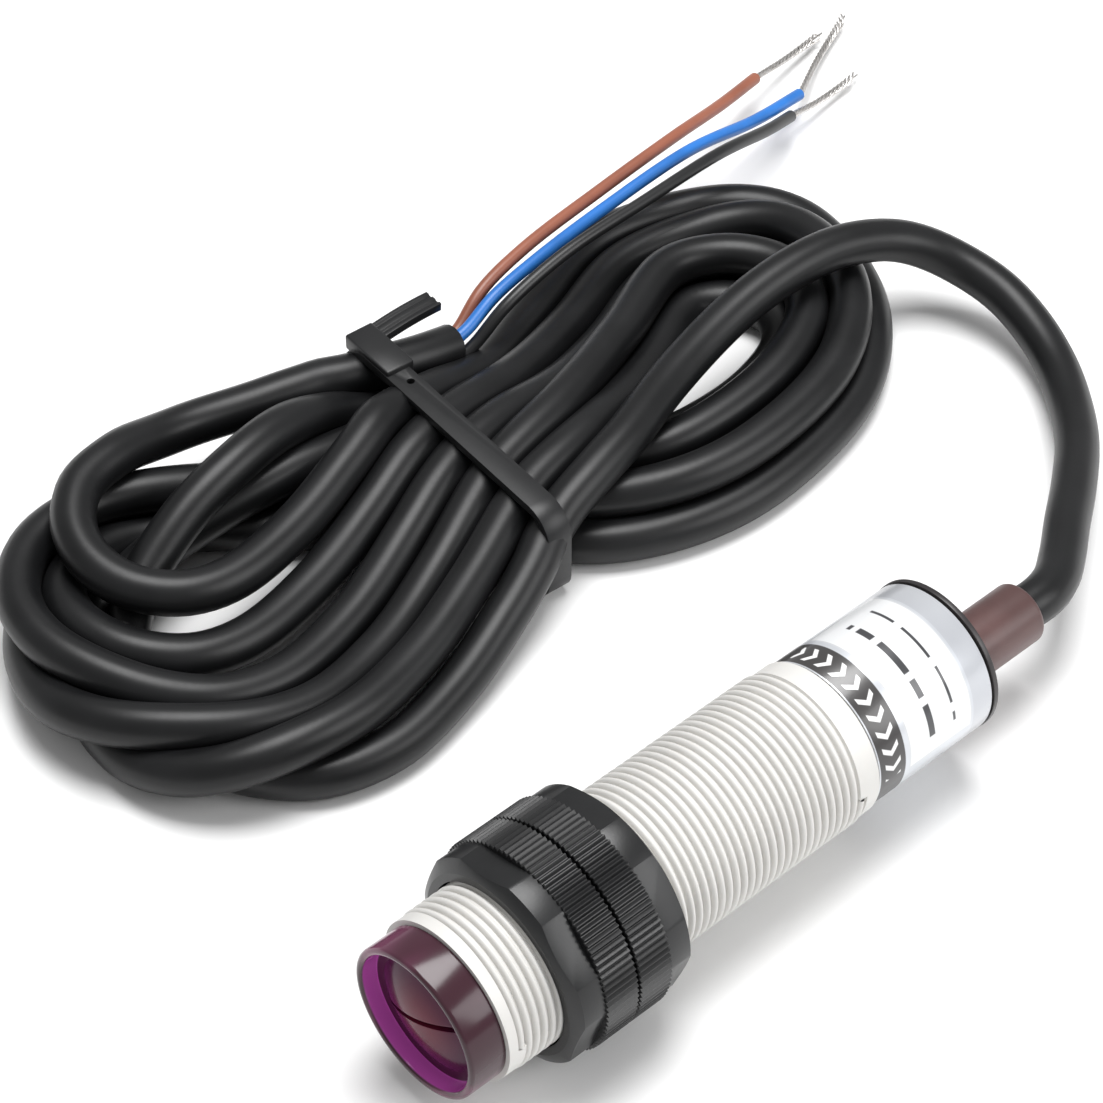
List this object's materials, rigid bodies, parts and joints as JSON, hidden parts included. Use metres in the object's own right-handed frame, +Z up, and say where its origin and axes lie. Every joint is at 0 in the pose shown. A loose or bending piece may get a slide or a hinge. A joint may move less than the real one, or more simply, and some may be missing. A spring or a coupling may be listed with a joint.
{
  "type": "photoelectric sensor",
  "caption": "Threaded cylindrical photoelectric sensor with a recessed twin lens, clamp nuts, a label sleeve and a tied cable with bare cores.",
  "frame": {"origin": "centre of the underside of the sensor, without its cable, level with the bottom of its nuts", "axes": "+Y along the sensor from its lens to its cable, +Z up, the hank of cable on the -X side"},
  "size_m": [0.1023, 0.1501, 0.0235],
  "materials": {
    "white_plastic": "fine moulded satin",
    "black_plastic": "moulded satin",
    "smoked_lens": "polished, dark purple, passes infrared",
    "label_foil": "satin silver film, printed",
    "smoked_brown": "satin, dark red-brown",
    "cable_jacket": "smooth PVC",
    "tie_plastic": "ribbed soft plastic",
    "brown_wire": "smooth PVC",
    "blue_wire": "smooth PVC",
    "black_wire": "smooth PVC",
    "tinned_copper": "tinned twisted strands",
    "black_rubber": "matt",
    "board": "solder mask",
    "chip": "moulded",
    "ceramic_body": "fired",
    "red_clear": "clear epoxy",
    "dark_clear": "dark epoxy",
    "resin": "cast resin"
  },
  "bodies": {
    "sensor_body": {"barrel": "white_plastic", "label": "label_foil", "lens_cap": "smoked_lens", "front_seal": "black_rubber", "optics_holder": "black_plastic", "emitter_led": "red_clear", "receiver_diode": "dark_clear", "circuit_board": "board", "signal_chip": "chip", "output_transistor": "chip", "filter_capacitor": "ceramic_body", "indicator_led": "red_clear", "resistor_1": "chip", "resistor_2": "chip", "resistor_3": "chip", "potting_plug": "resin", "rear_cap": "smoked_brown", "cable_boot": "smoked_brown", "inner_cable": "cable_jacket", "brown_pigtail": "brown_wire", "blue_pigtail": "blue_wire", "black_pigtail": "black_wire", "cable_lead": "cable_jacket", "cable_coil": "cable_jacket", "cable_tie": "tie_plastic", "brown_core": "brown_wire", "blue_core": "blue_wire", "black_core": "black_wire", "brown_strands": "tinned_copper", "blue_strands": "tinned_copper", "black_strands": "tinned_copper"},
    "front_nut": {"front_nut": "black_plastic"},
    "rear_nut": {"rear_nut": "black_plastic"}
  },
  "joints": [
    {"name": "front_nut_travel", "type": "slide", "parent": "sensor_body", "child": "front_nut", "axis": [0, -1, 0], "range_m": [0, 0.0115]},
    {"name": "rear_nut_travel", "type": "slide", "parent": "sensor_body", "child": "rear_nut", "axis": [0, 1, 0], "range_m": [0, 0.0266]}
  ]
}
